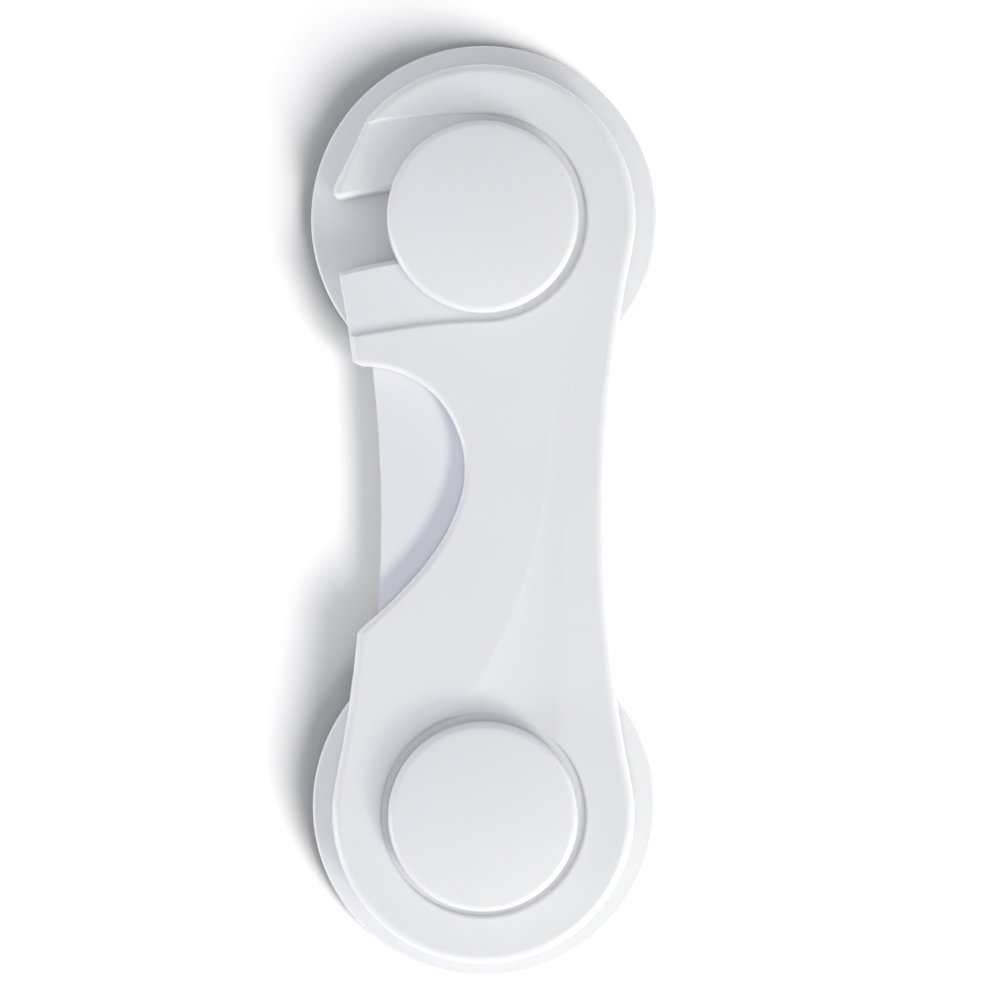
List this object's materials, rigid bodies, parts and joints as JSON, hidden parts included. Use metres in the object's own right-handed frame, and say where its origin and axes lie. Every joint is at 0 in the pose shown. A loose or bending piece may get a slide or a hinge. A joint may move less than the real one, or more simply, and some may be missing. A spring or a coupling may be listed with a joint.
{
  "type": "cabinet safety lock",
  "caption": "Adhesive cabinet lock: a hooked arm swings on a capped post and latches sideways round another, with a sprung release lever in its finger recess.",
  "frame": {"origin": "on the mounting plane, midway between the two posts", "axes": "+Y from the pivot post to the catch post, +Z away from the furniture, +X to the closed flank of the arm; the hook's mouth and the finger recess open towards -X"},
  "size_m": [0.0556, 0.1506, 0.0159],
  "materials": {
    "white_abs": "moulded white ABS, satin gloss",
    "lever_abs": "moulded white ABS, satin gloss",
    "foam_tape": "matt closed-cell foam tape",
    "zinc_steel": "zinc plated",
    "spring_steel": "drawn spring wire"
  },
  "bodies": {
    "root": {"pivot_adhesive_pad": "foam_tape", "catch_adhesive_pad": "foam_tape", "pivot_base_disc": "white_abs", "catch_base_disc": "white_abs", "pivot_cap": "white_abs", "catch_cap": "white_abs", "pivot_cap_screw": "zinc_steel", "catch_cap_screw": "zinc_steel"},
    "arm": {"arm_cover": "white_abs", "arm_back_plate": "white_abs", "arm_screws": "zinc_steel", "lever_pin": "zinc_steel", "lever_spring": "spring_steel"},
    "lever": {"release_lever": "lever_abs"}
  },
  "joints": [
    {"name": "arm_swing", "type": "hinge", "parent": "root", "child": "arm", "pos_m": [0, -0.0475, 0.0064], "axis": [0, 0, 1], "range_deg": [-335, 0]},
    {"name": "lever_press", "type": "hinge", "parent": "arm", "child": "lever", "pos_m": [0.01838, 0.04999, 0.0059], "axis": [0, 0, 1], "range_deg": [0, 6], "stiffness_Nm_per_rad": 1.5, "deforming": ["lever_spring"]}
  ]
}
